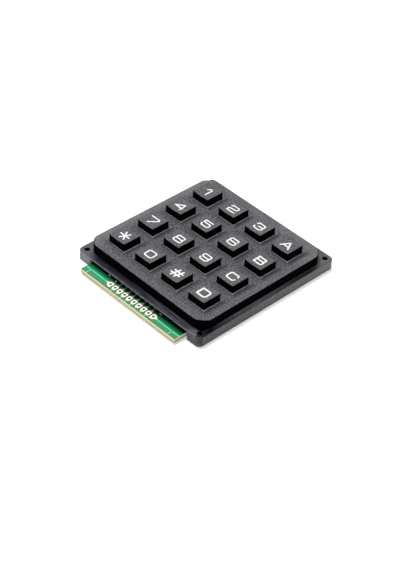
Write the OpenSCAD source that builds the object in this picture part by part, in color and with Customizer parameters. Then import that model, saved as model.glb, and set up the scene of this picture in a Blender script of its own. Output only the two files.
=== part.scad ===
// Matrix keypad: a moulded front frame with sixteen square keys, over a rubber
// contact mat and a circuit board whose tab carries one row of plated terminals.
// Millimetres. +Z points to the key tops, +Y to the row of keys 1 2 3 A.
// The origin is the centre of the four mounting holes, on the back plane.

/* [Keys] */
// Distance of the middle of the keys from the middle of the frame
keys_x = -0.25; // [-1:0.05:1]
// Distance between the centres of neighbouring keys
key_pitch = 14; // [13.5:0.1:16]
// Width of a key where it passes through the frame
key_w = 8.15; // [7.5:0.05:9]
// Gap between a key and its opening, on each side
key_gap = 0.175; // [0.1:0.005:0.4]
// Height of a key above the face of the frame
key_proud = 2.95; // [1.5:0.05:4.5]
// Slope of the sides of a key above the frame, in degrees
key_draft = 1.5; // [0:0.1:5]
// Depth of the hollow across the top of a key
key_dish = 0.25; // [0.1:0.01:0.6]
// Flat across the upright corners of a key
key_corner = 0.2; // [0.1:0.01:0.5]
// Thickness of the side walls of a key
key_wall = 1; // [0.7:0.05:1.4]
// Thickness of the top of a key under its hollow
key_roof = 1.1; // [0.8:0.05:1.5]
// Reach of the lip that catches a key under the frame
key_lip = 0.8; // [0.5:0.05:1.2]
// Thickness of the catching lip
key_lip_t = 0.85; // [0.6:0.05:1.2]
// Rounding of the corners of the lip
key_lip_round = 0.6; // [0.3:0.05:1]
// Diameter of the stem that presses the dome
stem_d = 3.6; // [2.5:0.1:4.2]
// Thickness of the cross ribs inside a key
key_rib_t = 0.7; // [0.5:0.05:1.2]
// Depth of the cross ribs below the top of a key's inside
key_rib_h = 1.6; // [0.8:0.1:2]
// Travel of a key
key_travel = 1; // [0.6:0.05:1.3]

/* [Front frame] */
// Height of the flange above the back plane
flange_h = 4.1; // [3.6:0.1:5]
// Radius of the corners of the flange, seen from above
flange_round = 2; // [1.5:0.1:3]
// Rounding of the top edge of the flange
flange_edge = 0.4; // [0.2:0.05:0.6]
// Thickness of the ledge round the raised panel
ledge_t = 1; // [0.8:0.05:1.3]
// Width of the ledge at the left and right
ledge_side = 1.9; // [1.7:0.1:3]
// Width of the ledge at the front, above the tab
ledge_front = 2.9; // [2.4:0.1:4]
// Width of the ledge at the back
ledge_back = 3.7; // [2.6:0.1:5]
// Thickness of the rim that runs round the board
rim_t = 1.5; // [1.2:0.05:1.7]
// Height of the raised panel above the flange
panel_h = 3.65; // [2.8:0.05:4.5]
// From the outer openings to the left and right sides of the panel
panel_side = 5.35; // [4.5:0.05:6.5]
// From the outer openings to the front and back of the panel
panel_end = 5.95; // [5:0.05:7]
// Length that the slanting cut takes off each corner of the panel
panel_cut = 3.5; // [2.6:0.1:4.2]
// Rounding where a corner cut meets the sides
panel_round = 3.5; // [0.8:0.1:4]
// Chamfer round the face of the panel
panel_chamfer = 0.3; // [0.1:0.05:0.7]
// Thickness of the face of the panel
face_t = 1.3; // [1:0.05:1.6]
// Thickness of the wall below the panel, which stands on the board
skirt_t = 1.4; // [1:0.05:1.8]
// Width of the chamfer round each key opening
opening_chamfer = 0.35; // [0.1:0.01:0.5]
// Slope of that chamfer, in degrees
opening_slope = 25; // [15:1:60]
// Thickness of the ribs between the keys
rib_t = 1; // [0.7:0.05:1.4]
// Width of the gate recess in the far edge of the panel
gate_w = 7.5; // [4:0.1:10]
// Depth of the gate recess
gate_depth = 0.7; // [0.2:0.05:0.8]
// Distance of the gate recess from the middle of the frame
gate_x = 3.3; // [-8:0.1:8]

/* [Mounting holes] */
// Diameter of the mounting holes
hole_d = 2.1; // [1.8:0.1:2.6]
// Distance of the mounting holes from the edges of the flange
hole_inset = 2.5; // [2.3:0.1:3]
// Thickness of the plastic round a mounting hole
hole_wall = 1.6; // [1.2:0.1:1.9]
// Chamfer at the mouth of a mounting hole
hole_chamfer = 0.15; // [0.05:0.01:0.3]

/* [Posts and stakes] */
// Diameter of the posts between the keys
post_d = 3.2; // [2.6:0.1:3.8]
// Diameter of the stakes that pass through the board
stake_d = 1.8; // [1.4:0.1:2.2]
// Gap between a stake and its hole in the board
stake_gap = 0.1; // [0.05:0.01:0.2]
// Diameter of the formed head of a stake
head_d = 3.4; // [2.8:0.1:3.8]
// Height of the formed head of a stake
head_h = 0.5; // [0.3:0.05:0.6]

/* [Circuit board] */
// Thickness of the board
board_t = 1.6; // [1.2:0.1:1.8]
// Height of the underside of the board above the back plane
board_under = 0.65; // [0.62:0.01:0.9]
// Gap between the board and the rim
board_gap = 0.2; // [0.1:0.05:0.4]
// Width of the tab that carries the terminals
tab_w = 50; // [30:0.5:51]
// Distance of the middle of the tab from the middle of the frame
tab_x = 0.4; // [-2:0.1:2]
// Length of the tab beyond the flange
tab_out = 5.1; // [4:0.1:9]
// Gap between the tab and the ends of the slot in the rim
slot_gap = 0.85; // [0.2:0.05:1]
// Thickness of the ledge above that slot
slot_roof = 0.55; // [0.5:0.05:0.9]

/* [Terminals] */
// Number of terminals
terminal_count = 10; // [8:1:12]
// Distance of the middle of the row of terminals from the middle of the frame
terminal_x = 0.45; // [-2:0.05:2]
// Distance between neighbouring terminals
terminal_pitch = 2.54; // [2.2:0.01:2.8]
// Inner diameter of a plated terminal hole
terminal_hole_d = 1; // [0.8:0.05:1.1]
// Thickness of the plating in a terminal hole
plating_t = 0.1; // [0.05:0.01:0.15]
// Distance of the terminals from the front edge of the tab
terminal_edge = 2.5; // [1.8:0.05:3.5]
// Width of a terminal pad
pad_w = 2; // [1.6:0.05:2.1]
// Length of a terminal pad
pad_l = 2.95; // [2.4:0.05:3.2]
// How much further the pads at the ends of the row reach outwards
end_pad_out = 0.85; // [0.2:0.05:1.2]
// Thickness of a terminal pad
pad_t = 0.06; // [0.04:0.01:0.1]

/* [Contact mat] */
// Thickness of the base of the mat
mat_t = 0.9; // [0.7:0.05:1.1]
// Gap round the mat and round the posts in it
mat_gap = 0.3; // [0.15:0.05:0.5]
// Height of a dome above the base of the mat
dome_h = 2.1; // [1.7:0.05:2.2]
// Diameter of a dome where it leaves the base
dome_base_d = 8; // [7:0.1:8.4]
// Diameter of a dome at its top
dome_top_d = 4.6; // [4.2:0.1:5]
// Height of the thick top of a dome
dome_cap_h = 0.4; // [0.2:0.05:0.6]
// Thickness of the wall of a dome
dome_wall = 0.4; // [0.3:0.05:0.6]
// Diameter of the boss inside a dome
boss_d = 3.6; // [3.3:0.1:3.8]
// Width of the air channels under the mat
vent_w = 1; // [0.6:0.1:1.5]
// Depth of the air channels under the mat
vent_depth = 0.3; // [0.2:0.05:0.4]

/* [Contacts] */
// Diameter of a carbon pill
pill_d = 3; // [2.4:0.1:3.2]
// Thickness of a carbon pill
pill_t = 0.5; // [0.35:0.05:0.7]
// Depth of the pocket that holds a carbon pill
pill_seat = 0.3; // [0.15:0.05:0.3]
// Gap between a carbon pill and the side of its pocket
pill_play = 0.02; // [0.01:0.01:0.05]
// Gap left between a pill and the board at the end of the travel
pill_gap = 0.05; // [0.02:0.01:0.15]
// Width of the fingers of a switch pad
finger_w = 0.5; // [0.3:0.05:0.6]
// Gap between the fingers of a switch pad
finger_gap = 0.3; // [0.2:0.05:0.4]
// Length of a switch pad along its fingers
switch_l = 5; // [4:0.1:5.2]
// Width of the bar that joins the fingers
bar_w = 0.6; // [0.4:0.05:0.8]
// Thickness of a switch pad
switch_t = 0.05; // [0.03:0.01:0.08]

/* [Hidden] */
ROWS = [["1", "2", "3", "a"], ["4", "5", "6", "b"], ["7", "8", "9", "c"], ["star", "0", "hash", "d"]];

$fn = 48;
last = len(ROWS) - 1;
bite = 0.2;
past = 1;
root2 = sqrt(2);

// Heights above the back plane
board_top = board_under + board_t;
mat_top = board_top + mat_t;
dome_top = mat_top + dome_h;
face_z = flange_h + panel_h;
face_under = face_z - face_t;
ledge_under = flange_h - ledge_t;
key_top = face_z + key_proud;
lip_under = face_under - key_lip_t;
roof_under = key_top - key_dish - key_roof;
switch_top = board_top + switch_t;
pill_under = switch_top + key_travel + pill_gap;
pill_top = pill_under + pill_t;
boss_under = pill_top - pill_seat;

// Sizes seen from above
opening_w = key_w + 2 * key_gap;
field_w = last * key_pitch + opening_w;
panel_w = field_w + 2 * panel_side;
panel_d = field_w + 2 * panel_end;
frame_w = panel_w + 2 * ledge_side;
frame_d = panel_d + ledge_front + ledge_back;
panel_y = (ledge_front - ledge_back) / 2;
hole_x = frame_w / 2 - hole_inset;
hole_y = frame_d / 2 - hole_inset;
block_r = hole_d / 2 + hole_wall;
board_w = frame_w - 2 * (rim_t + board_gap);
board_d = frame_d - 2 * (rim_t + board_gap);
tab_y = -frame_d / 2 - tab_out;
terminal_y = tab_y + terminal_edge;

black = [0.09, 0.09, 0.1];
carbon = [0.05, 0.05, 0.05];
rubber = [0.55, 0.57, 0.58];
laminate = [0.08, 0.42, 0.24];
silver = [0.86, 0.86, 0.84];

function key_x(col) = keys_x + (col - last / 2) * key_pitch;
function key_y(row) = panel_y + (last / 2 - row) * key_pitch;

// Corner centres of a rectangle whose corners are cut at 45 degrees and then rounded
function cut_corners(w, d, cut, round) =
    let (a = w / 2 - round, b = d / 2 - round, c = cut - (2 - root2) * round)
    [[a, b - c], [a - c, b], [c - a, b], [-a, b - c], [-a, c - b], [c - a, -b], [a - c, -b], [a, c - b]];

// A flat outline that follows the panel, moved inwards
module panel_outline(inwards) {
    round = max(panel_round - inwards, bite);
    corners = cut_corners(panel_w - 2 * inwards, panel_d - 2 * inwards,
        panel_cut - (2 - root2) * inwards, round);
    translate([0, panel_y]) hull() for (p = corners) translate(p) circle(round, $fn = 32);
}

module at_four_corners() {
    for (x = [-1, 1], y = [-1, 1]) scale([x, y, 1]) children();
}

// Middle of the gap between two keys, counted from the left or from the front
function gap_x(i) = keys_x + (i - (last + 1) / 2) * key_pitch;
function gap_y(i) = panel_y + (i - (last + 1) / 2) * key_pitch;

// Posts stand between the keys and in the side walls of the panel. Two more stakes stand under its
// front wall and two under its back wall.
post_places = [for (i = [0:last + 1], j = [1:last]) if ((i > 0 && i <= last) || j != (last + 1) / 2)
    [gap_x(i), gap_y(j)]];
wall_places = [for (i = [1, last], side = [-1, 1]) [gap_x(i), panel_y + side * (panel_d - skirt_t) / 2]];
stake_places = concat(post_places, wall_places);

module flange_block() {
    // Upright slab with round corners and a rounded top edge
    corner = [flange_round, flange_h - flange_edge];
    profile = concat([[0, 0], [flange_round, 0]],
        [for (a = [0:22.5:90]) corner + flange_edge * [cos(a) - 1, sin(a)]], [[0, flange_h]]);
    hull() for (x = [-1, 1], y = [-1, 1])
        translate([x * (frame_w / 2 - flange_round), y * (frame_d / 2 - flange_round), 0])
            rotate_extrude($fn = 32) polygon(profile);
}

module rim_space() {
    // Room inside the rim and under the ledge
    w = frame_w - 2 * rim_t;
    d = frame_d - 2 * rim_t;
    translate([-w / 2, -d / 2, -past]) cube([w, d, ledge_under + past]);
}

module corner_blocks(grow, top) {
    // Columns round the mounting holes, joined to the rim
    r = block_r + grow;
    reach = hole_inset - rim_t / 2;
    translate([0, 0, -past * sign(grow)]) at_four_corners() translate([hole_x, hole_y, 0]) {
        intersection() {
            cylinder(r = r, h = top);
            translate([-r, -r, 0]) cube([r + reach, r + reach, top]);
        }
        translate([-r, 0, 0]) cube([r + reach, reach, top]);
        translate([0, -r, 0]) cube([reach, r + reach, top]);
    }
}

module panel_block() {
    // Raised panel with its wall down to the board
    translate([0, 0, board_top]) linear_extrude(face_z - panel_chamfer - board_top) panel_outline(0);
    translate([0, panel_y, face_z - panel_chamfer])
        hull() for (p = cut_corners(panel_w, panel_d, panel_cut, panel_round)) translate(p)
            cylinder(r1 = panel_round, r2 = panel_round - panel_chamfer, h = panel_chamfer, $fn = 32);
}

module panel_space() {
    // Room for the mat and the keys inside the wall of the panel
    translate([0, 0, board_top - past]) linear_extrude(face_under - board_top + past)
        panel_outline(skirt_t);
}

module square_flare(width, slope, height) {
    // Square mouth that widens upwards at that slope
    half = width / 2;
    wide = half + height / tan(slope);
    profile = [[-half, 0], [half, 0], [wide, height], [-wide, height]];
    intersection() {
        rotate([90, 0, 0]) linear_extrude(2 * wide, center = true) polygon(profile);
        rotate([90, 0, 90]) linear_extrude(2 * wide, center = true) polygon(profile);
    }
}

module key_openings() {
    chamfer_depth = opening_chamfer * tan(opening_slope);
    for (col = [0:last], row = [0:last]) translate([key_x(col), key_y(row), 0]) {
        translate([-opening_w / 2, -opening_w / 2, face_under - past])
            cube([opening_w, opening_w, face_t + 2 * past]);
        translate([0, 0, face_z - chamfer_depth])
            square_flare(opening_w, opening_slope, chamfer_depth + past);
    }
}

module mounting_holes() {
    at_four_corners() translate([hole_x, hole_y, 0]) {
        translate([0, 0, -past]) cylinder(d = hole_d, h = flange_h + 2 * past);
        translate([0, 0, flange_h - hole_chamfer])
            cylinder(r1 = hole_d / 2, r2 = hole_d / 2 + hole_chamfer + past, h = hole_chamfer + past);
    }
}

module tab_slot() {
    // The rim is open and the ledge is thinner where the tab leaves
    w = tab_w + 2 * slot_gap;
    translate([tab_x - w / 2, -frame_d / 2 - past, -past])
        cube([w, rim_t + 2 * past, flange_h - slot_roof + past]);
}

module gate_recess() {
    far = panel_y + panel_d / 2;
    translate([gate_x - gate_w / 2, far - gate_depth - panel_chamfer, face_z - gate_depth])
        cube([gate_w, gate_depth + panel_chamfer + past, gate_depth + past]);
}

module stiffening_ribs() {
    // Ribs between the keys hold the mat down on the board
    for (i = [1:last]) {
        translate([gap_x(i) - rib_t / 2, panel_y - panel_d / 2, mat_top])
            cube([rib_t, panel_d, face_under + bite - mat_top]);
        translate([-panel_w / 2, gap_y(i) - rib_t / 2, mat_top])
            cube([panel_w, rib_t, face_under + bite - mat_top]);
    }
}

module stake() {
    // Pin through the board, with the head that was formed on it
    profile = concat([[0, bite]], [[stake_d / 2, bite], [stake_d / 2, -board_t]],
        [for (a = [0:30:90]) [head_d / 2 * cos(a), -board_t - head_h * sin(a)]]);
    translate([0, 0, board_top]) rotate_extrude() polygon(profile);
}

module front_frame() {
    color(black) {
        difference() {
            union() {
                difference() {
                    flange_block();
                    rim_space();
                }
                corner_blocks(0, ledge_under + bite);
                panel_block();
            }
            panel_space();
            key_openings();
            mounting_holes();
            tab_slot();
            gate_recess();
        }
        intersection() {
            stiffening_ribs();
            translate([0, 0, board_top]) linear_extrude(face_z) panel_outline(skirt_t - bite);
        }
        for (p = post_places) translate([p[0], p[1], board_top])
            cylinder(d = post_d, h = face_under + bite - board_top);
        for (p = stake_places) translate([p[0], p[1], 0]) stake();
    }
}

module key_body(half) {
    // Square prism up to the face of the frame, then sloping sides
    slope = tan(key_draft);
    low = half - (key_top - face_z) * slope;
    profile = [[-half, lip_under], [half, lip_under], [half, face_z], [low, key_top], [-low, key_top],
        [-half, face_z]];
    across = (2 * half - key_corner * root2 / 2) * root2;
    intersection() {
        rotate([90, 0, 0]) linear_extrude(4 * half, center = true) polygon(profile);
        rotate([90, 0, 90]) linear_extrude(4 * half, center = true) polygon(profile);
        rotate([0, 0, 45]) translate([-across / 2, -across / 2, 0]) cube([across, across, key_top + past]);
    }
}

module keycap() {
    half = key_w / 2;
    hollow = key_w - 2 * key_wall;
    top_half = half - key_proud * tan(key_draft);
    dish_r = (top_half * top_half + key_dish * key_dish) / (2 * key_dish);
    lip = key_w + 2 * key_lip;
    color(black) {
        difference() {
            union() {
                key_body(half);
                translate([0, 0, lip_under]) linear_extrude(key_lip_t) difference() {
                    square(lip, center = true);
                    for (a = [0:90:270]) rotate(a) translate([lip / 2, lip / 2])
                        rotate(45) square(key_lip_round * root2, center = true);
                }
            }
            translate([0, 0, key_top - key_dish + dish_r]) rotate([90, 0, 0])
                cylinder(r = dish_r, h = 2 * key_w, center = true, $fn = 96);
            translate([-hollow / 2, -hollow / 2, lip_under - past])
                cube([hollow, hollow, roof_under - lip_under + past]);
        }
        translate([0, 0, dome_top]) cylinder(d = stem_d, h = roof_under + bite - dome_top);
        for (a = [0, 90]) rotate(a)
            translate([-hollow / 2 - bite, -key_rib_t / 2, roof_under - key_rib_h])
                cube([hollow + 2 * bite, key_rib_t, key_rib_h + bite]);
    }
}

module carbon_pill() {
    color(carbon) translate([0, 0, pill_under]) cylinder(d = pill_d, h = pill_t);
}

module dome_outside() {
    rotate_extrude() polygon([[0, mat_top - bite], [dome_base_d / 2, mat_top - bite],
        [dome_base_d / 2, mat_top], [dome_top_d / 2, dome_top - dome_cap_h], [dome_top_d / 2, dome_top],
        [0, dome_top]]);
}

module dome_inside() {
    // Space round the boss, and the pocket for the pill
    outer = dome_base_d / 2 - dome_wall;
    inner = boss_d / 2;
    pocket = pill_d / 2 + pill_play;
    neck = max(dome_top_d / 2 - dome_wall, inner + bite);
    roof = dome_top - dome_cap_h - dome_wall;
    rotate_extrude() polygon([[0, board_top - past], [outer, board_top - past], [outer, mat_top],
        [neck, roof], [inner, roof], [inner, boss_under], [pocket, boss_under], [pocket, pill_top],
        [0, pill_top]]);
}

module at_keys() {
    for (col = [0:last], row = [0:last]) translate([key_x(col), key_y(row), 0]) children();
}

module rubber_mat() {
    color(rubber) difference() {
        union() {
            translate([0, 0, board_top]) linear_extrude(mat_t) panel_outline(skirt_t + mat_gap);
            at_keys() dome_outside();
        }
        at_keys() dome_inside();
        for (p = post_places) translate([p[0], p[1], board_top - past])
            cylinder(d = post_d + 2 * mat_gap, h = mat_t + 2 * past);
        for (row = [0:last]) translate([key_x(0), key_y(row) - vent_w / 2, board_top - past])
            cube([last * key_pitch, vent_w, vent_depth + past]);
    }
}

module circuit_board() {
    drill_d = terminal_hole_d + 2 * plating_t;
    color(laminate) difference() {
        translate([-board_w / 2, -board_d / 2, board_under]) cube([board_w, board_d, board_t]);
        corner_blocks(board_gap, board_top + 2 * past);
        for (p = stake_places) translate([p[0], p[1], board_under - past])
            cylinder(d = stake_d + 2 * stake_gap, h = board_t + 2 * past);
    }
    color(laminate) difference() {
        translate([tab_x - tab_w / 2, tab_y, board_under])
            cube([tab_w, -board_d / 2 + bite - tab_y, board_t]);
        at_terminals() translate([0, 0, board_under - past]) cylinder(d = drill_d, h = board_t + 2 * past);
    }
}

module at_terminals() {
    for (i = [0:terminal_count - 1])
        translate([terminal_x + (i - (terminal_count - 1) / 2) * terminal_pitch, terminal_y, 0]) children();
}

module pad_plate() {
    // Oblong plating on one face of the board
    straight = pad_l - pad_w;
    translate([-pad_w / 2, -straight / 2, 0]) cube([pad_w, straight, pad_t]);
    for (s = [-1, 1]) translate([0, s * straight / 2, 0]) cylinder(d = pad_w, h = pad_t);
}

module end_pad_plate() {
    // The first and the last pad are straight on the side of the row and drawn out to a small round
    // end on the other
    tip = pad_w / 4;
    tip_x = pad_w / 2 + end_pad_out - tip;
    translate([tip_x, 0, 0]) cylinder(r = tip, h = pad_t);
    linear_extrude(pad_t) polygon([[-pad_w / 2, -pad_l / 2], [0, -pad_l / 2], [tip_x, -tip],
        [tip_x, tip], [0, pad_l / 2], [-pad_w / 2, pad_l / 2]]);
}

module terminal_pads() {
    barrel_d = terminal_hole_d + 2 * plating_t;
    row_end = (terminal_count - 1) / 2 * terminal_pitch;
    color(silver) difference() {
        union() {
            at_terminals() translate([0, 0, board_under - pad_t / 2])
                cylinder(d = barrel_d, h = board_t + pad_t);
            for (z = [board_top, board_under - pad_t]) translate([0, 0, z]) {
                at_terminals() pad_plate();
                for (side = [-1, 1]) translate([terminal_x + side * row_end, terminal_y, 0])
                    scale([side, 1, 1]) end_pad_plate();
            }
        }
        at_terminals() translate([0, 0, board_under - past])
            cylinder(d = terminal_hole_d, h = board_t + 2 * past);
    }
}

module comb(side, fingers) {
    // One half of a switch pad: a bar with fingers that reach towards the other bar
    step = finger_w + finger_gap;
    bar_l = 4 * step + finger_w;
    scale([1, side, 1]) {
        translate([-bar_l / 2, switch_l / 2 - bar_w, 0]) cube([bar_l, bar_w, switch_t]);
        for (i = fingers) translate([i * step - finger_w / 2, bar_w + finger_gap - switch_l / 2, 0])
            cube([finger_w, switch_l - bar_w - finger_gap, switch_t]);
    }
}

module switch_pads() {
    color(carbon) at_keys() translate([0, 0, board_top]) {
        comb(1, [-2, 0, 2]);
        comb(-1, [-1, 1]);
    }
}

front_frame();
circuit_board();
rubber_mat();
switch_pads();
terminal_pads();
for (row = [0:last], col = [0:last]) {
    translate([key_x(col), key_y(row), 0]) keycap();
    translate([key_x(col), key_y(row), 0]) carbon_pill();
}
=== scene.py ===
import math

import bpy
import numpy as np
from mathutils.geometry import delaunay_2d_cdt
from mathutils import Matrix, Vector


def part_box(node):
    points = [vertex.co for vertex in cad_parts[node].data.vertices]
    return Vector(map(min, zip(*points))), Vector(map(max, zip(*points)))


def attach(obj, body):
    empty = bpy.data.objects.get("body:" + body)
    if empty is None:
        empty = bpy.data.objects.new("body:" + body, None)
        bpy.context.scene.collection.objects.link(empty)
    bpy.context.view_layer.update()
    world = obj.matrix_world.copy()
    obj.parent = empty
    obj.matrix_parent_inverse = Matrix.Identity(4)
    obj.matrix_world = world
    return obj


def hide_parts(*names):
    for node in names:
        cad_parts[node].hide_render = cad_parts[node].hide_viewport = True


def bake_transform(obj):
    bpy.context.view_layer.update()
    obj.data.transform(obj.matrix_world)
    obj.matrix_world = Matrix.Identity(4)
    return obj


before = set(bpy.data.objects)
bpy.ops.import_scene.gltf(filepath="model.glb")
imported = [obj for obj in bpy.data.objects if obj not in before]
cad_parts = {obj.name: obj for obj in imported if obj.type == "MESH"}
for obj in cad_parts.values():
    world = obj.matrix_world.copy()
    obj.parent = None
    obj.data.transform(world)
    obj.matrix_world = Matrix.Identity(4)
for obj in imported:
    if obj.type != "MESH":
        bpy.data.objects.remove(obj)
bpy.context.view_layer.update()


# Front frame: one moulding in black ABS. Its upper and outer faces carry a fine spark-eroded grain, the
# draft walls are smooth and coloured near-black as painted shade, and the edges of the key openings
# carry painted highlights.

class Value:
    """A shader value. Sums and comparisons on it add Math nodes."""

    def __init__(self, finish, socket):
        self.finish = finish
        self.socket = socket

    def __getitem__(self, output):
        """Another output of the same node."""
        return Value(self.finish, self.socket.node.outputs[output])

    def maths(self, operation, first, second=0.0):
        return self.finish.node("ShaderNodeMath", {"operation": operation}, {0: first, 1: second})

    def __add__(self, other):
        return self.maths("ADD", self, other)

    def __radd__(self, other):
        return self.maths("ADD", other, self)

    def __sub__(self, other):
        return self.maths("SUBTRACT", self, other)

    def __rsub__(self, other):
        return self.maths("SUBTRACT", other, self)

    def __mul__(self, other):
        return self.maths("MULTIPLY", self, other)

    def __rmul__(self, other):
        return self.maths("MULTIPLY", other, self)

    def __gt__(self, other):
        return self.maths("GREATER_THAN", self, other)

    def __lt__(self, other):
        return self.maths("LESS_THAN", self, other)

    def __abs__(self):
        return self.maths("ABSOLUTE", self)

    def larger(self, *others):
        """The largest of this value and the others."""
        largest = self
        for other in others:
            largest = self.maths("MAXIMUM", largest, other)
        return largest

    def between(self, low, high):
        """1 between low and high, and 0 elsewhere."""
        return (self > low) * (self < high)

    def ramp(self, low, high):
        """0 at low, 1 at high, straight in between."""
        ends = {"Value": self, "From Min": low, "From Max": high}
        return self.finish.node("ShaderNodeMapRange", {}, ends)

    def band(self, start, full, fade, end):
        """0 up to start, 1 from full to fade, and 0 again past end."""
        return self.ramp(start, full) * self.ramp(end, fade)

    def around(self, place, spacing):
        """Distance past the nearest of evenly spaced places, one of which is given."""
        return self.maths("FLOORED_MODULO", self - (place - spacing / 2), spacing) - spacing / 2


class Finish:
    """A node material for one of the keypad's materials, or the nodes of a world."""

    def __init__(self, name, kind="materials"):
        """An empty one, in the list of bpy.data that kind names."""
        self.material = getattr(bpy.data, kind).new(name)
        self.material.use_nodes = True
        self.tree = self.material.node_tree
        self.tree.nodes.clear()

    def node(self, kind, settings=None, inputs=None):
        """One node: its settings first, then the values or links of its inputs."""
        made = self.tree.nodes.new(kind)
        for name, setting in (settings or {}).items():
            setattr(made, name, setting)
        for name, given in (inputs or {}).items():
            if isinstance(given, Value):
                self.tree.links.new(given.socket, made.inputs[name])
            else:
                made.inputs[name].default_value = given
        return Value(self, made.outputs[0]) if made.outputs else None

    def place(self):
        """Where a point is on the part, in metres along X, Y and Z."""
        return self.node("ShaderNodeTexCoord")["Object"]

    def along(self, vector):
        """The three parts of a vector."""
        apart = self.node("ShaderNodeSeparateXYZ", {}, {0: vector})
        return apart["X"], apart["Y"], apart["Z"]

    def facing_up(self):
        """1 on a level face, 0 on an upright one and -1 on an underside."""
        return self.along(self.node("ShaderNodeTexCoord")["Normal"])[2]

    def noise(self, scale, detail=2.0, roughness=0.5, stretch=(1.0, 1.0, 1.0)):
        """Cloudy noise from 0 to 1. It is drawn out along an axis whose stretch is small."""
        stretched = {0: self.place(), 1: stretch}
        where = self.node("ShaderNodeVectorMath", {"operation": "MULTIPLY"}, stretched)
        inputs = {"Vector": where, "Scale": scale, "Detail": detail, "Roughness": roughness}
        return self.node("ShaderNodeTexNoise", {}, inputs)

    def colour(self, share, none, full):
        """The colour none where share is 0, and full where it is 1."""
        return self.node("ShaderNodeMix", {"data_type": "RGBA"}, {0: share, 6: none, 7: full})[2]

    def bump(self, height, strength, distance):
        """A normal that rises and falls with height, by a distance in metres."""
        inputs = {"Height": height, "Strength": strength, "Distance": distance}
        return self.node("ShaderNodeBump", {}, inputs)

    def surface(self, **inputs):
        """A Principled surface, its inputs named with _ for each space."""
        named = {name.replace("_", " "): given for name, given in inputs.items()}
        return self.node("ShaderNodeBsdfPrincipled", {}, named)

    def either(self, share, none, full):
        """The surface none where share is 0, and full where it is 1."""
        return self.node("ShaderNodeMixShader", {}, {0: share, 1: none, 2: full})

    def close(self, surface):
        """Ends the material with this surface."""
        self.node("ShaderNodeOutputMaterial", {}, {"Surface": surface})

    def cover(self, piece):
        """This finish goes on all of a piece."""
        for slot in piece.material_slots:
            slot.material = self.material
        if not piece.material_slots:
            piece.data.materials.append(self.material)


def black_plastic(finish, grained, tone_and_painted_light, soft, painted_shade=0.0):
    """The grained surface of the plastic, and its smooth walls, coloured near-black as painted shade.
    The grain is paler by the share of painted light, which on the keys is a small even share for their
    tone, and darker by the share of painted shade; the larger soft is, the less the grain stands out."""
    mottle = finish.noise(3000.0, 0.0)
    grain = finish.noise(5200.0, 2.0)
    handled = finish.noise(60.0, 3.0)
    shade = mottle.ramp(0.5 - soft, 0.5 + soft) * 0.9 + handled.ramp(0.3, 0.7) * 0.1
    grey = finish.colour(shade, (0.007, 0.007, 0.010, 1), (0.146, 0.146, 0.164, 1))
    # The grain is paled towards light grey by the share of painted light, and darkened by the share of
    # painted shade.
    paled_grey = finish.colour(tone_and_painted_light, grey, (0.42, 0.42, 0.43, 1))
    face = finish.surface(
        Base_Color=finish.colour(painted_shade, paled_grey, (0.018, 0.018, 0.023, 1)),
        Roughness=0.52 + 0.16 * mottle,
        Specular_IOR_Level=0.25,
        Normal=finish.bump(grain + 1.2 * mottle, 0.5, 0.00008),
    )
    # The smooth walls are coloured near-black: painted shade.
    wall = finish.surface(
        Base_Color=finish.colour(handled, (0.0003, 0.0003, 0.0005, 1), (0.0010, 0.0010, 0.0014, 1)),
        Roughness=0.7 + 0.12 * handled,
        Specular_IOR_Level=0.01,
        Normal=finish.bump(handled + 0.3 * grain, 0.15, 0.00003),
    )
    return finish.either(grained, wall, face)


def middle(node):
    """The middle of a node's box, in metres."""
    return sum(np.array(corner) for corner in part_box(node)) / 2


frame_plastic = Finish("frame_black_plastic")
frame_low, frame_high = (np.array(corner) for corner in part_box("front_frame"))
right_x, front_y = frame_high[0], frame_low[1]
outer_depth = 0.0011
ledge_height = 0.0041
panel_x = right_x - 0.0019
panel_front = front_y + 0.0029
side_x = panel_x - 0.0004
key_step = middle("key_2")[0] - middle("key_1")[0]
grid_middle = (middle("key_1") + middle("key_d")) / 2
rim_inside, rim_outside = 0.0045, 0.00495

# The faces of the frame: outside, along the edge of the ledge, on the panel, and at the mouth
# and rim of each opening. A place past a key is counted from the middle of the nearest one.
fx, fy, fz = frame_plastic.along(frame_plastic.place())
up = frame_plastic.facing_up()
outer = (abs(fx) > right_x - outer_depth).larger(abs(fy) > frame_high[1] - outer_depth)
on_front = fy < front_y + outer_depth
on_right = fx > right_x - outer_depth
at_ledge = fz.between(ledge_height - 0.0006, ledge_height + 0.0001)
ledge_edge = up.between(0.3, 0.65) * at_ledge
beside_panel = abs(fx) > side_x
right_ledge = fx > side_x
on_panel = fz > ledge_height + 0.001
mouth = up.between(0.84, 0.96) * on_panel
past_x = fx.around(middle("key_1")[0], key_step)
past_y = fy.around(middle("key_1")[1], key_step)
in_columns = abs(fx - grid_middle[0]) < 2 * key_step
in_rows = abs(fy - grid_middle[1]) < 2 * key_step
among_keys = in_columns * in_rows
from_key = abs(past_x).larger(abs(past_y))
rim = from_key.between(rim_inside, rim_outside) * among_keys * on_panel

# Painted shadow darkens the panel to the right of each opening, less of it in front of each, and
# painted shade lies low on the corner of the flange at the front right.
shadow_end, shadow_full = 0.0056, 0.0046
right_painted_shadow = past_x.band(0.0050, 0.00525, 0.0056, 0.0072) * abs(past_y).ramp(shadow_end, shadow_full)
front_painted_shadow = past_y.band(-0.0045, -0.0048, -0.0051, -0.0061) * abs(past_x).ramp(shadow_end, shadow_full)
opening_painted_shadow = (right_painted_shadow * 0.92).larger(front_painted_shadow * 0.42) * among_keys * on_panel
near_right = fx.ramp(right_x - 0.0022, right_x - 0.0013)
near_front = fy.ramp(front_y + 0.0022, front_y + 0.0014)
corner_painted_shade = near_right * near_front * fz.ramp(0.0002, 0.0012) * (fz < ledge_height)
painted_frame_shade = opening_painted_shadow.larger(corner_painted_shade * 0.72)
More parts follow.
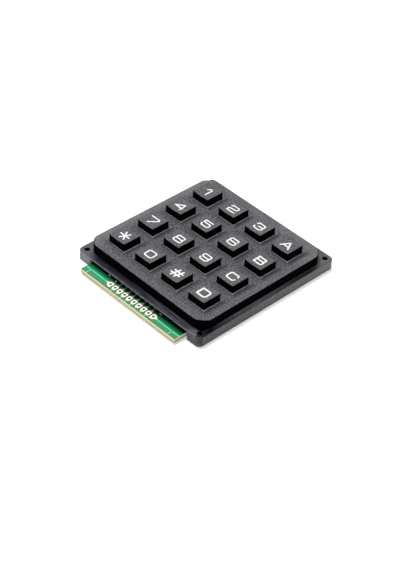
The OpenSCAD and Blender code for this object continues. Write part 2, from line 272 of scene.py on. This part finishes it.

# Painted highlights lie on the mouths and rims of the openings, strongest at the near right, and
# painted light lies on the margin of the panel, the outer faces and the edge of the ledge.
beside_key = abs(past_x) > abs(past_y)
towards_near = 0.1 + 0.9 * (past_x - past_y).ramp(0.0003, 0.0035)
mouth_highlight = mouth * (1.0 - 0.15 * beside_key)
rim_highlight = rim * (0.12 + 0.58 * beside_key)
far_margin_light = fy.ramp(0.014, 0.030) * (0.01 + 0.14 * fx.ramp(-0.030, 0.030))
left_margin_light = fx.ramp(-0.0255, -0.0275) * 0.14
margin = ((1 - among_keys) * 0.055 + left_margin_light + far_margin_light) * on_panel
front_face_light = (0.3 * fx.ramp(0.0, -0.030) - 0.035 * fx.ramp(0.008, 0.024)) * on_front
right_face_light = (0.05 + 0.2 * fy.ramp(-0.030, 0.026) + 0.12 * fy.ramp(0.026, 0.031)) * on_right
outside_light = outer * (0.050 + front_face_light + right_face_light)
edge_highlight = ledge_edge * (0.3 * (abs(fx) < panel_x) + 0.15 * right_face_light)
opening_highlight = mouth_highlight.larger(rim_highlight) * towards_near
tone_and_painted_light = opening_highlight.larger(margin, outside_light, edge_highlight)
# Grained faces take the grey; the rest are walls, coloured near-black as painted shade.
grained = (up.ramp(0.75, 0.95) * on_panel).larger(outer, mouth, ledge_edge, up < -0.2)
moulding = black_plastic(frame_plastic, grained, tone_and_painted_light, 0.055 + 0.10 * outer, painted_frame_shade)

# The ledge is satin, with fine streaks that run along it. Its colour is painted shade and painted
# light: the front is dark on the left and paler on the right, the far and left ends are pale, and so is
# the middle of its right, and by the wall on the right it is paler where the panel's shadow falls.
streaks_across = frame_plastic.noise(2600.0, 2.0, 0.6, (0.05, 1.0, 1.0))
streaks_along = frame_plastic.noise(2600.0, 2.0, 0.6, (1.0, 0.05, 1.0))
all_streaks = streaks_across * (1 - beside_panel) + streaks_along * beside_panel
streaks = all_streaks.ramp(0.38, 0.64)
front_shaded_satin = frame_plastic.colour(streaks, (0.004, 0.0045, 0.008, 1), (0.034, 0.036, 0.049, 1))
wall_painted_light = fx.ramp(panel_x + 0.0010, panel_x - 0.0002) * (0.75 + 0.4 * streaks)
right_lit_satin = frame_plastic.colour(wall_painted_light, (0.024, 0.025, 0.031, 1), (0.150, 0.150, 0.168, 1))
satin = frame_plastic.colour(right_ledge * fy.ramp(-0.0278, -0.0248), front_shaded_satin, right_lit_satin)
right_middle_highlight = fy.band(-0.026, -0.014, -0.001, 0.014) * (0.45 + 0.75 * streaks) * right_ledge
from_wall = fx.ramp(panel_x + 0.0015, panel_x + 0.0003)
right_painted_light = frame_plastic.colour(from_wall, (0.070, 0.070, 0.080, 1), (0.310, 0.311, 0.340, 1))
lit_satin = frame_plastic.colour(right_middle_highlight, satin, right_painted_light)
in_front = fy.ramp(panel_front + 0.0008, panel_front - 0.0003) * (1 - beside_panel)
front_right = fx.ramp(0.0235, 0.0275) * in_front
painted_light_ends = fx.ramp(-0.023, -0.0290).larger(fy.ramp(0.0235, 0.0272), front_right)
along_front = fx.ramp(-0.005, 0.020) * fy.ramp(front_y, panel_front) * (1 - beside_panel)
pale = (along_front * (0.25 + streaks)).larger(painted_light_ends * (0.8 + 0.2 * streaks))
ledge = frame_plastic.surface(
    Base_Color=frame_plastic.colour(pale, lit_satin, (0.124, 0.125, 0.142, 1)),
    Roughness=0.16 + 0.16 * streaks,
    Specular_IOR_Level=0.10,
    Normal=frame_plastic.bump(streaks, 0.3, 0.00004),
)
# A corner of the ledge at the front right, by the panel, takes the near-black colour of the walls:
# painted shade.
corner_y = fy.ramp(panel_front - 0.0003, panel_front + 0.0006) * (fy < panel_front + 0.0051)
painted_dark_corner = fx.band(0.024, 0.026, panel_x - 0.0006, panel_x) * corner_y
on_ledge = at_ledge * (up > 0.65) * (1 - painted_dark_corner)
frame_plastic.close(frame_plastic.either(on_ledge, moulding, ledge))
frame_plastic.cover(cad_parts["front_frame"])


# Keys: sixteen caps moulded in the same black ABS, dropped into the frame from behind. Their
# hollow tops are grained, and their sloping sides are smooth and coloured near-black as painted shade.

ROWS = [["1", "2", "3", "a"], ["4", "5", "6", "b"], ["7", "8", "9", "c"], ["star", "0", "hash", "d"]]

# The middle of each key, in millimetres along X and Y.
KEYS = {name: (middle("key_" + name)[:2] * 1000).tolist() for row in ROWS for name in row}
key_plastic = Finish("key_black_plastic")
# Tops take the grey, and the sides the near-black of painted shade.
key_tops = key_plastic.facing_up().ramp(0.45, 0.85)
key_plastic.close(black_plastic(key_plastic, key_tops, 0.06, 0.16))
for name in KEYS:
    key_plastic.cover(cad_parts["key_" + name])


# Legends: plain figures and letters in white ink, pad-printed on the hollow tops of the keys. A
# film of ink lies on the plastic and follows its curve.

ink = Finish("white_legend_ink")
ink_wear = ink.noise(1500.0, 3.0)
ink.close(ink.surface(
    Base_Color=ink.colour(ink_wear.ramp(0.35, 0.75), (0.90, 0.90, 0.89, 1), (0.96, 0.96, 0.95, 1)),
    Roughness=0.45 + 0.2 * ink_wear,
    Normal=ink.bump(ink.noise(5200.0), 0.2, 0.00002),
))

# Centre lines of the legends in millimetres: the shift from the middle of the key, the width of the
# ink, then strokes of (x, y) or (x, y, rounding). A stroke that ends where it starts is a closed loop.
SIX = [
    (1.8, 0.95), (1.4, 1.68), (-1.75, 1.68, 0.7), (-1.75, -1.68, 0.7),
    (1.75, -1.68, 0.7), (1.75, 0.1, 0.6), (-1.75, 0.1),
]
LEGENDS = {
    "1": (-0.08, 0.60, [[(-0.9, 0.95), (-0.2, 1.9), (0.85, 1.9, 0.4), (0.75, -1.9)]]),
    "2": (-0.02, 0.58, [[
        (-1.75, 0.95), (-1.4, 1.65), (1.75, 1.65, 0.5), (1.75, 0.05, 0.5),
        (-1.75, -0.35, 0.4), (-1.75, -1.72), (1.9, -1.72),
    ]]),
    "3": (-0.15, 0.58, [
        [(-1.8, 0.8), (-1.5, 1.68), (1.75, 1.68, 0.7), (1.75, -1.68, 0.7), (-1.5, -1.68), (-1.8, -0.8)],
        [(-0.35, 0), (1.75, 0)],
    ]),
    "a": (0.03, 0.64, [[(-2.0, -1.65), (0.15, 1.8), (1.95, -1.8)], [(-1.2, -0.6), (1.4, -0.6)]]),
    "4": (-0.20, 0.62, [[(1.9, -0.85), (-1.75, -0.85), (1.35, 1.7, 0.3), (1.5, -1.9)]]),
    "5": (0.17, 0.58, [[
        (1.75, 1.62), (-1.75, 1.62), (-1.75, 0.3), (1.75, 0.3, 0.7),
        (1.75, -1.68, 0.7), (-1.4, -1.68), (-1.8, -0.8),
    ]]),
    "6": (-0.12, 0.60, [SIX]),
    "b": (0.10, 0.68, [
        [(-1.8, 1.7), (1.6, 1.7, 0.6), (1.6, 0.05, 0.6), (-1.8, 0.05)],
        [(-1.8, 0.05), (1.8, 0.05, 0.7), (1.8, -1.7, 0.7), (-1.8, -1.7), (-1.8, 1.7)],
    ]),
    "7": (-0.17, 0.58, [[(-2.05, 1.75), (2.05, 1.75, 0.5), (2.0, 1.0), (-0.75, -1.9)]]),
    "8": (0.17, 0.60, [
        [(0, 1.68), (1.65, 1.68, 0.6), (1.65, 0, 0.6), (-1.65, 0, 0.6), (-1.65, 1.68, 0.6), (0, 1.68)],
        [(0, 0), (1.8, 0, 0.6), (1.8, -1.68, 0.6), (-1.8, -1.68, 0.6), (-1.8, 0, 0.6), (0, 0)],
    ]),
    "9": (0.13, 0.60, [[(-x, -y, *rounding) for x, y, *rounding in SIX]]),
    "c": (-0.05, 0.66, [[
        (1.85, 0.9), (1.35, 1.75), (-1.85, 1.75, 0.8), (-1.85, -1.6, 0.8), (1.35, -1.6), (1.85, -0.8),
    ]]),
    "star": (0.10, 0.63, [
        [(-2.15, 0), (2.15, 0)],
        [(-1.1, 1.85), (1.2, -1.9)],
        [(1.0, 1.85), (-0.85, -1.9)],
    ]),
    "0": (0.05, 0.60, [[
        (0, 1.7), (1.8, 1.7, 0.8), (1.8, -1.7, 0.8), (-1.8, -1.7, 0.8), (-1.8, 1.7, 0.8), (0, 1.7),
    ]]),
    "hash": (-0.04, 0.69, [
        [(-0.35, 2.1), (-1.2, -1.9)],
        [(1.4, 2.1), (0.4, -1.9)],
        [(-1.8, 0.9), (2.2, 0.8)],
        [(-2.15, -0.68), (1.9, -0.68)],
    ]),
    "d": (-0.01, 0.72, [[
        (-1.9, 0), (-1.9, 1.75), (1.9, 1.75, 0.9), (1.9, -1.75, 0.9), (-1.9, -1.75), (-1.9, 0),
    ]]),
}


def with_round_corners(stroke, arc_points=7):
    """Points of a stroke, with an arc at each corner that has a rounding."""
    points = [np.array(stroke[0][:2], float)]
    for before, corner, after in zip(stroke, stroke[1:], stroke[2:]):
        at = np.array(corner[:2], float)
        if len(corner) == 2:
            points.append(at)
            continue
        back, on = (np.array(p[:2], float) - at for p in (before, after))
        back, on = back / np.linalg.norm(back), on / np.linalg.norm(on)
        half = math.acos(float(np.clip(back @ on, -1, 1))) / 2
        centre = at + (back + on) / np.linalg.norm(back + on) * corner[2] / math.sin(half)
        starts, ends = (at + d * corner[2] / math.tan(half) - centre for d in (back, on))
        for share in np.linspace(0, 1, arc_points):
            arm = starts * (1 - share) + ends * share
            points.append(centre + arm / np.linalg.norm(arm) * corner[2])
    return points + [np.array(stroke[-1][:2], float)]


def inked_area(strokes, ink_width, reach, cell):
    """The printed area as flat polygons: cells of a grid, cut along the edge of the ink."""
    ticks = np.arange(-reach, reach + cell, cell)
    across, up = np.meshgrid(ticks, ticks, indexing="ij")
    beyond = np.full(across.shape, 9.0)
    for stroke in strokes:
        points = with_round_corners(stroke)
        for a, b in zip(points, points[1:]):
            run = b - a
            share = ((across - a[0]) * run[0] + (up - a[1]) * run[1]) / max(run @ run, 1e-9)
            share = np.clip(share, 0, 1)
            gap = np.hypot(across - a[0] - share * run[0], up - a[1] - share * run[1])
            beyond = np.minimum(beyond, gap - ink_width / 2)
    beyond[np.abs(beyond) < cell / 10] = cell / 10  # so that the cut leaves no slivers
    corners, numbers, faces = [], {}, []

    def number(one, two):
        """The number of the corner at one, or where the ink's edge cuts between one and two."""
        key = (min(one, two), max(one, two))
        if key not in numbers:
            share = 0.0 if one == two else beyond[key[0]] / (beyond[key[0]] - beyond[key[1]])
            ends = [np.array([ticks[i], ticks[j]]) for i, j in key]
            numbers[key] = len(corners)
            corners.append(ends[0] * (1 - share) + ends[1] * share)
        return numbers[key]

    inked = beyond < 0
    for i, j in np.argwhere(inked[:-1, :-1] | inked[1:, :-1] | inked[1:, 1:] | inked[:-1, 1:]):
        ring = [(i, j), (i + 1, j), (i + 1, j + 1), (i, j + 1)]
        face = []
        for one, two in zip(ring, ring[1:] + ring[:1]):
            if inked[one]:
                face.append(number(one, one))
            if inked[one] != inked[two]:
                face.append(number(one, two))
        faces.append(face)
    return corners, faces


def new_piece(name, corners, faces, finish, slot, body=None):
    """A piece from corners in millimetres, with its finish, on its body."""
    mesh = bpy.data.meshes.new(name)
    mesh.from_pydata([tuple(float(c) / 1000 for c in corner) for corner in corners], [], faces)
    piece = bpy.data.objects.new(name, mesh)
    bpy.context.scene.collection.objects.link(piece)
    finish.cover(piece)
    if body:
        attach(piece, body)
    return piece


def thicken(piece, millimetres):
    """Closes a flat piece into a film, downwards."""
    film = piece.modifiers.new("film", "SOLIDIFY")
    film.thickness = millimetres / 1000
    film.offset = -1


# The hollow of a key's top is a part of a cylinder along Y. These sizes are in millimetres.
hollow_bottom, hollow_radius = 10.45, 33.31
ink_thickness, ink_proud = 0.03, 0.015
legend_reach, legend_cell, legend_drop = 2.8, 0.06, 0.1
for name, (mx, my) in KEYS.items():
    shift, ink_width, strokes = LEGENDS[name]
    corners, faces = inked_area(strokes, ink_width, legend_reach, legend_cell)
    placed = []
    for cx, cy in corners:
        kx = cx + shift
        rise = hollow_radius - math.sqrt(hollow_radius ** 2 - kx ** 2)
        placed.append((mx + kx, my + cy - legend_drop, hollow_bottom + rise + ink_proud))
    legend = new_piece("legend_" + name, placed, faces, ink, "key_plastic", "key_" + name)
    thicken(legend, ink_thickness)


# Contact mat: one moulding in grey silicone, laid on the board under the keys. A flat sheet
# joins sixteen domes. The walls of a dome fold when its key is pressed and bring it back; here the
# walls stand still, and only the cap moves with its key.

silicone = Finish("grey_silicone")
bloom = silicone.noise(240.0, 4.0)
silicone.close(silicone.surface(
    Base_Color=silicone.colour(bloom, (0.24, 0.25, 0.26, 1), (0.34, 0.35, 0.36, 1)),
    Roughness=0.58 + 0.2 * bloom,
    Normal=silicone.bump(silicone.noise(3800.0), 0.3, 0.00004),
))


def ring_of(radius, count, x, y):
    """Points in millimetres, evenly spaced on a circle round x, y."""
    turns = [2 * math.pi * i / count for i in range(count)]
    return [(x + radius * math.cos(turn), y + radius * math.sin(turn)) for turn in turns]


def flat_sheet(outline, holes, hole_sides=28):
    """Triangles that fill an outline, less its round holes of (x, y, radius)."""
    loops, points = [], []
    for loop in [outline] + [ring_of(r, hole_sides, x, y) for x, y, r in holes]:
        loops.append(list(range(len(points), len(points) + len(loop))))
        points.extend(loop)
    corners, _, faces, *_ = delaunay_2d_cdt(points, [], loops, 1, 1e-6)
    kept = []
    for face in faces:
        centre = sum((corners[i] for i in face), corners[face[0]] * 0) / len(face)
        if all(math.hypot(centre.x - x, centre.y - y) > r for x, y, r in holes):
            kept.append(face)
    return corners, kept


def turned(profile, count, x, y, closed=True):
    """A turned form round the upright line through x, y, from a profile of (radius, height)."""
    corners, faces, rings = [], [], []
    for radius, height in profile:
        start = len(corners)
        if radius:
            corners.extend((cx, cy, height) for cx, cy in ring_of(radius, count, x, y))
            rings.append(list(range(start, start + count)))
        else:
            corners.append((x, y, height))
            rings.append([start] * count)
    for low, high in zip(rings, rings[1:] + (rings[:1] if closed else [])):
        for i in range(count):
            j = (i + 1) % count
            face = list(dict.fromkeys((low[i], low[j], high[j], high[i])))
            if len(face) > 2:
                faces.append(face)
    return corners, faces


# The sheet in millimetres: its outline has cut corners, and it has a hole for each dome and one
# for each post of the frame, halfway between four keys.
mat_top, sheet_thickness = 3.15, 0.88
mat_inset, mat_cut = 0.05, 2.4
post_hole, hole_radius = 1.9, 3.6
half_step = key_step * 500
mat_low, mat_high = (np.array(corner[:2]) * 1000 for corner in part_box("rubber_mat"))
left, near = mat_low + mat_inset
right, far = mat_high - mat_inset
mat_outline = [
    (right, far - mat_cut), (right - mat_cut, far), (left + mat_cut, far), (left, far - mat_cut),
    (left, near + mat_cut), (left + mat_cut, near), (right - mat_cut, near), (right, near + mat_cut),
]
between_x = [KEYS[name][0] + half_step for name in ("1", "2", "3")]
between_y = [KEYS[name][1] - half_step for name in ("1", "4", "7")]
posts = [(x, y, post_hole) for x in between_x for y in between_y]
domes = [(x, y, hole_radius) for x, y in KEYS.values()]
corners, faces = flat_sheet(mat_outline, posts + domes)
corners = [(corner.x, corner.y, mat_top) for corner in corners]
mat_sheet = new_piece("mat_sheet", corners, faces, silicone, "silicone", "frame")
thicken(mat_sheet, sheet_thickness)
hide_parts("rubber_mat")

# The domes: radii and heights in millimetres, then the profile of the wall and that of the cap,
# which has a boss underneath with a seat for the pill.
foot_radius, cap_radius, boss_radius, seat_radius = 4.0, 2.3, 1.8, 1.52
foot, boss_under, seat_top, shoulder, dome_top = mat_top - 0.02, 3.55, 3.85, 4.85, 5.25
dome_sides = 40
wall_profile = [
    (foot_radius, foot), (3.98, mat_top + 0.15), (2.45, shoulder - 0.1), (cap_radius, shoulder + 0.01),
    (1.95, shoulder + 0.01), (2.1, shoulder - 0.25), (3.55, mat_top + 0.05), (hole_radius, foot),
]
cap_profile = [
    (0, seat_top), (seat_radius, seat_top), (seat_radius, boss_under), (boss_radius - 0.06, boss_under),
    (boss_radius, boss_under + 0.06), (boss_radius, shoulder - 0.4), (cap_radius, shoulder),
    (cap_radius, dome_top - 0.1), (cap_radius - 0.1, dome_top), (0, dome_top),
]
for name, (mx, my) in KEYS.items():
    key, x, y = "key_" + name, mx / 1000, my / 1000
    wall = turned(wall_profile, dome_sides, mx, my)
    dome_wall = new_piece("dome_wall_" + name, *wall, silicone, "silicone")
    dome_wall.data.shade_smooth()
    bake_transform(dome_wall)
    cap = turned(cap_profile, dome_sides, mx, my, closed=False)
    new_piece("dome_cap_" + name, *cap, silicone, "silicone", key)


# Carbon contacts: a black pill pressed into the boss of each dome, and a pair of carbon fingers
# screened on the board under it. The pill bridges the fingers when the key goes down.

carbon = Finish("black_carbon")
speck = carbon.noise(2600.0, 4.0)
carbon.close(carbon.surface(
    Base_Color=carbon.colour(speck, (0.010, 0.010, 0.010, 1), (0.035, 0.035, 0.036, 1)),
    Roughness=0.5 + 0.25 * speck,
    Normal=carbon.bump(speck, 0.3, 0.00003),
))
for name in KEYS:
    carbon.cover(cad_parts["pill_" + name])
carbon.cover(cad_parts["switch_pads"])


# Circuit board: glass-epoxy laminate under a green solder mask, held on the stakes of the frame.
# The mask stops just short of the cut edges, which show the pale laminate.

board = Finish("solder_mask_on_laminate")
board_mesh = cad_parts["circuit_board"].data
tab_points = [corner.co for corner in board_mesh.vertices if corner.co.y < front_y - 0.001]
tab_left, tab_right = min(p.x for p in tab_points), max(p.x for p in tab_points)
tab_front = min(p.y for p in tab_points)
pads_low, pads_high = (np.array(corner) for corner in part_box("terminal_pads"))
pads_middle = middle("terminal_pads")
terminal_count, pitch = 10, 0.00254
half_row = (terminal_count - 1) / 2
lip_width = 0.0001
bx, by, bz = board.along(board.place())
flat = abs(board.facing_up()) > 0.5
lip = (by < tab_front + lip_width).larger(bx > tab_right - lip_width) * (by < front_y)
weave = board.noise(900.0, 2.0)
cloud = board.noise(160.0, 3.0)

# The mint line of the tracks lies across the tab, a little askew. In front of it the mask is light, and
# behind it the mask is painted from green to nearly black as painted shade of the slot, sooner behind
# the pads.
line_y = tab_front + 0.00247
line_slope = 0.0053
behind_pads = abs(bx - pads_middle[0]).ramp(0.0125, 0.0112)
past_line = by - line_y + line_slope * bx
behind_line = past_line + 0.00025 * bx.ramp(-0.015, 0.015) + 0.0005 * behind_pads
near_line = board.colour(cloud, (0.003, 0.260, 0.115, 1), (0.006, 0.310, 0.140, 1))
slot_shade_green = board.colour(behind_line.ramp(0.0007, 0.0014), near_line, (0.001, 0.135, 0.045, 1))
slot_black_shade = board.colour(behind_line.ramp(0.0015, 0.0026), slot_shade_green, (0.0005, 0.009, 0.003, 1))
light = board.colour(cloud, (0.062, 0.300, 0.135, 1), (0.080, 0.340, 0.160, 1))
at_front = by.ramp(tab_front + 0.0007, tab_front + 0.0003)
olive = board.colour(at_front, light, (0.085, 0.190, 0.060, 1))
tab_mask = board.colour(past_line < 0.0, slot_black_shade, olive)
past_pad = bx.around(pads_middle[0] + pitch / 2, pitch)
by_pads = (abs(bx - pads_middle[0]) < half_row * pitch) * (abs(by - pads_middle[1]) < 0.0012)
between_pads = (abs(past_pad) > 0.00098) * by_pads
front_mask = board.colour(between_pads, tab_mask, (0.030, 0.085, 0.040, 1))
back_mask = board.colour(cloud, (0.004, 0.125, 0.048, 1), (0.009, 0.165, 0.066, 1))
mask = board.surface(
    Base_Color=board.colour(bz < 0.0010, front_mask, back_mask),
    Roughness=0.4 + 0.15 * cloud,
    Specular_IOR_Level=0.05,
    Normal=board.bump(cloud + 0.2 * weave, 0.15, 0.00004),
)
layers = board.node(
    "ShaderNodeTexWave",
    {"bands_direction": "Z"},
    {"Vector": board.place(), "Scale": 1900.0, "Distortion": 1.5},
)
glass = 0.6 * layers["Fac"] + 0.4 * weave
# The cut edge is tan low down and cream higher up; the tan low down is partly the laminate's own colour
# and partly painted shade.
tan = board.colour(glass, (0.44, 0.31, 0.17, 1), (0.60, 0.46, 0.26, 1))
cream = board.colour(bz.ramp(0.0012, 0.0017), tan, (0.80, 0.76, 0.47, 1))
laminate = board.surface(
    Base_Color=board.colour(bz.ramp(0.0018, 0.0021), cream, (0.62, 0.75, 0.46, 1)),
    Roughness=0.6 + 0.2 * weave,
    Specular_IOR_Level=0.3,
    Normal=board.bump(weave + layers["Fac"], 0.35, 0.00005),
)
board.close(board.either(flat * (1 - lip), laminate, mask))
board.cover(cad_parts["circuit_board"])


# Tracks on the tab: copper under the mask, a little proud, which shows as a paler green. A line
# runs from each side of the tab to the nearest terminal, and branches run to the front edge.

def masked_copper(name, dark, light):
    """The look of copper under the mask, between a dark and a light green."""
    finish = Finish(name)
    shine = finish.noise(600.0, 3.0)
    finish.close(finish.surface(
        Base_Color=finish.colour(shine, dark, light),
        Roughness=0.35 + 0.15 * shine,
        Specular_IOR_Level=0.2,
        Normal=finish.bump(shine, 0.15, 0.00003),
    ))
    return finish


def track(points, width, height):
    """A flat ribbon along points, with mitred corners."""
    points = [np.array(p, float) for p in points]
    corners = []
    for i, point in enumerate(points):
        runs = [b - a for a, b in zip(points[max(i - 1, 0):i + 1], points[max(i - 1, 0) + 1:i + 2])]
        runs = [r / np.linalg.norm(r) for r in runs]
        aside = sum(np.array([-r[1], r[0]]) for r in runs)
        aside = aside / np.linalg.norm(aside)
        aside = aside * width / 2 / abs(aside @ np.array([-runs[0][1], runs[0][0]]))
        corners += [(*(point + aside), height), (*(point - aside), height)]
    faces = [[2 * i, 2 * i + 1, 2 * i + 3, 2 * i + 2] for i in range(len(points) - 1)]
    return corners, faces


def gathered(parts):
    """Several flat forms as one list of corners and one of faces."""
    corners, faces = [], []
    for part_corners, part_faces in parts:
        faces += [[i + len(corners) for i in face] for face in part_faces]
        corners += part_corners
    return corners, faces


def on_line(x):
    """The place on the mint line at x, in millimetres."""
    return x, line_y * 1000 - line_slope * x


# Places and sizes of the tracks are in millimetres. The inner terminals have a branch each, and
# the line ends in the pads of the outer two.
row_x, row_y = pads_middle[:2] * 1000
terminals = [row_x + (i - half_row) * pitch * 1000 for i in range(terminal_count)]
inner_terminals = terminals[1:-1]
pad_reach, into_pad = 1.3, 0.3
tab_end = tab_front * 1000 + 0.1
track_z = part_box("circuit_board")[1][2] * 1000 + 0.035
copper_depth = 0.05
line_width, side_width, branch_width = 0.45, 0.4, 0.36
left_line = [on_line(tab_left * 1000 + 0.1), on_line(pads_low[0] * 1000 + into_pad)]
right_line = [on_line(tab_right * 1000 - 0.15), on_line(pads_high[0] * 1000 - into_pad)]
runs = [track(line, line_width, track_z) for line in (left_line, right_line)]
runs += [track([on_line(x), (x, tab_end)], side_width, track_z) for x in (-21.8, 21.7)]
runs += [track([(x, row_y - pad_reach), (x, tab_end)], branch_width, track_z) for x in inner_terminals]
mint = masked_copper("mask_on_tab_copper", (0.13, 0.64, 0.42, 1), (0.22, 0.80, 0.56, 1))
thicken(new_piece("tab_tracks", *gathered(runs), mint, "board", "frame"), copper_depth)


# Ridges behind the terminals: the same copper, where the tracks taper and go back under the
# ledge. Their dim grey-green is painted shade of the slot.

shaded_grey_green = masked_copper("shaded_mask_on_ridges", (0.10, 0.22, 0.13, 1), (0.16, 0.30, 0.19, 1))
ridge_width, ridge_z = 0.25, track_z - 0.005
taper_start, taper_end, ridge_end = row_y + 1.1, row_y + 2.1, row_y + 3.6
ridges = []
for x in inner_terminals:
    taper = [(x - 0.7, taper_start), (x + 0.7, taper_start), (x + 0.15, taper_end), (x - 0.1, taper_end)]
    ridges.append(([(cx, cy, track_z) for cx, cy in taper], [[0, 1, 2, 3]]))
    bent = [(x, taper_end - 0.1), (x + 0.15, ridge_end - 0.8), (x + 0.15, ridge_end)]
    ridges.append(track(bent, ridge_width, ridge_z))
thicken(new_piece("tab_ridges", *gathered(ridges), shaded_grey_green, "board", "frame"), copper_depth)


# Tracks on the back: copper under the mask. Four serve the columns of keys and four the rows,
# with a plated via at each key or at the row that a track serves. They turn outwards clear of
# the stakes.

back_z, back_width = 0.66, 0.35
lane_from_key, first_turn, turn_step, bend = 2.2, -28.4, 0.8, 0.6
via_ring, via_sides = [(0.5, back_z), (0.2, back_z)], 16
last = len(inner_terminals) - 1
wiring = []
for number, x in enumerate(inner_terminals):
    column, serves_row = divmod(number, 2)
    lane = KEYS[ROWS[0][column]][0] + (lane_from_key if serves_row else -lane_from_key)
    turn = first_turn + turn_step * min(number, last - number)
    aside = bend if lane > x else -bend
    served = [ROWS[3 - column][column]] if serves_row else [row[column] for row in ROWS]
    vias = [KEYS[name][1] for name in served]
    from_terminal = [(x, row_y + pad_reach), (x, turn - bend), (x + aside, turn)]
    along_lane = [(lane - aside, turn), (lane, turn + bend), (lane, max(vias))]
    wiring.append(track(from_terminal + along_lane, back_width, back_z))
    wiring += [turned(via_ring, via_sides, lane, via, closed=False) for via in vias]
pale_green = masked_copper("mask_on_back_copper", (0.020, 0.235, 0.100, 1), (0.035, 0.290, 0.130, 1))
thicken(new_piece("back_tracks", *gathered(wiring), pale_green, "board", "frame"), copper_depth)


# Painted shade in the slot: eight small tapered teeth of near-black plastic on the frame, dark shapes
# where there is only shade. They hang from the roof of the slot, one above each inner track.

slot_roof, tooth_tip, tooth_y, tooth_thickness = 3.56, 2.85, -34.4, 0.5
teeth = []
for x in inner_terminals:
    outline = [(x - 0.35, slot_roof), (x + 1.0, slot_roof), (x + 0.5, tooth_tip), (x + 0.3, tooth_tip)]
    corners = [(cx, tooth_y + back, cz) for back in (0, tooth_thickness) for cx, cz in outline]
    sides = [[i, (i + 1) % 4, (i + 1) % 4 + 4, i + 4] for i in range(4)]
    teeth.append((corners, [[3, 2, 1, 0], [4, 5, 6, 7]] + sides))
new_piece("slot_shade_teeth", *gathered(teeth), frame_plastic, "frame_plastic", "frame")


# Print marks: three short strokes of white ink, screened on the board at the mouth of the slot.
# Each is given by its start, its end and its width in millimetres.

marks = [
    ((-15.7, -34.1), (-14.3, -34.2), 0.22),
    ((11.9, -34.3), (13.1, -34.35), 0.22),
    ((-11.2, -34.5), (-10.7, -34.7), 0.35),
]
printed = gathered([track([start, end], width, track_z) for start, end, width in marks])
thicken(new_piece("print_marks", *printed, ink, "board", "frame"), ink_thickness)


# Terminals: ten tinned pads with plated holes, for a header or wires. The tin has a satin skin, the
# barrels in the holes are brown, and the back ends of the pads turn dark green, with a pale grey-green
# edge.

tin = Finish("satin_tin")
ty = tin.along(tin.place())[1]
pads_back = pads_high[1]
level = abs(tin.facing_up()) > 0.5
flow = tin.noise(1300.0, 3.0)
bare_tin = tin.colour(flow, (0.70, 0.67, 0.56, 1), (0.86, 0.83, 0.73, 1))
towards_back_end = ty.ramp(pads_back - 0.00052, pads_back - 0.00036)
dark_back_end = tin.colour(towards_back_end, bare_tin, (0.045, 0.150, 0.090, 1))
at_back_edge = ty.ramp(pads_back - 0.0002, pads_back - 0.0001)
skin = tin.surface(
    Base_Color=tin.colour(at_back_edge, dark_back_end, (0.24, 0.42, 0.33, 1)),
    Metallic=0.25,
    Roughness=0.42 + 0.2 * flow,
    Specular_IOR_Level=0.3,
    Normal=tin.bump(flow, 0.3, 0.00006),
)
barrel = tin.surface(
    Base_Color=tin.colour(flow, (0.30, 0.19, 0.13, 1), (0.45, 0.31, 0.22, 1)),
    Metallic=0.3,
    Roughness=0.55 + 0.2 * flow,
    Specular_IOR_Level=0.2,
    Normal=tin.bump(flow, 0.3, 0.00005),
)
tin.close(tin.either(level, barrel, skin))
tin.cover(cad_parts["terminal_pads"])


# Stage: a plain white floor that keeps the keypad's shadow, a soft lamp high on the left, a soft
# lamp low in front, and the camera at the photograph's angle.

def seen(finish):
    """1 for what is looked at straight or in a mirror, 0 for the light that it throws."""
    ray = finish.node("ShaderNodeLightPath")
    return ray["Is Camera Ray"].larger(ray["Is Glossy Ray"], ray["Is Transmission Ray"])


floor_half = 3
square = [(-1, -1), (1, -1), (1, 1), (-1, 1)]
ground = bpy.data.meshes.new("floor")
ground.from_pydata([(x * floor_half, y * floor_half, 0) for x, y in square], [], [(0, 1, 2, 3)])
floor = bpy.data.objects.new("floor", ground)
bpy.context.scene.collection.objects.link(floor)
paper = Finish("white_floor")
floor_seen = seen(paper)
paper.close(paper.surface(
    Base_Color=paper.colour(floor_seen, (0.80, 0.80, 0.80, 1), (0.96, 0.98, 1.00, 1)),
    Roughness=1.0,
    Specular_IOR_Level=0.0,
    Emission_Color=paper.colour(floor_seen, (0, 0, 0, 1), (0.375, 0.35, 0.305, 1)),
    Emission_Strength=1.0,
))
paper.cover(floor)

room = Finish("white_room", "worlds")
bpy.context.scene.world = room.material
air = room.colour(seen(room), (0.10, 0.10, 0.108, 1), (1, 1, 1, 1))
light = room.node("ShaderNodeBackground", {}, {"Color": air, "Strength": 1.0})
room.node("ShaderNodeOutputWorld", {}, {"Surface": light})


def soft_lamp(name, direction, distance, size, watts, colour):
    """A square lamp that faces the keypad from that direction."""
    lamp = bpy.data.objects.new(name, bpy.data.lights.new(name, "AREA"))
    lamp.data.size = size
    lamp.data.energy = watts
    lamp.data.color = colour
    bpy.context.scene.collection.objects.link(lamp)
    away = np.array(direction, float) / np.linalg.norm(direction)
    lamp.location = away * distance
    lamp.rotation_euler = lamp.location.to_track_quat("Z", "Y").to_euler()


soft_lamp("key_lamp", (-0.36, 0.12, 0.92), 0.8, 0.45, 6.0, (1.0, 0.995, 0.985))
soft_lamp("front_lamp", (0.30, -0.80, 0.26), 0.8, 0.4, 3.6, (1.0, 0.995, 0.99))

lens = bpy.data.cameras.new("camera")
lens.lens = 94.03
lens.sensor_width = 36
lens.clip_start, lens.clip_end = 0.01, 20
camera = bpy.data.objects.new("camera", lens)
camera.location = (0.29368, -0.30966, 0.34863)
camera.rotation_euler = [math.radians(angle) for angle in (49.787, -3.2125, 46.402)]
bpy.context.scene.collection.objects.link(camera)
bpy.context.scene.camera = camera
bpy.context.scene.view_settings.view_transform = "Standard"
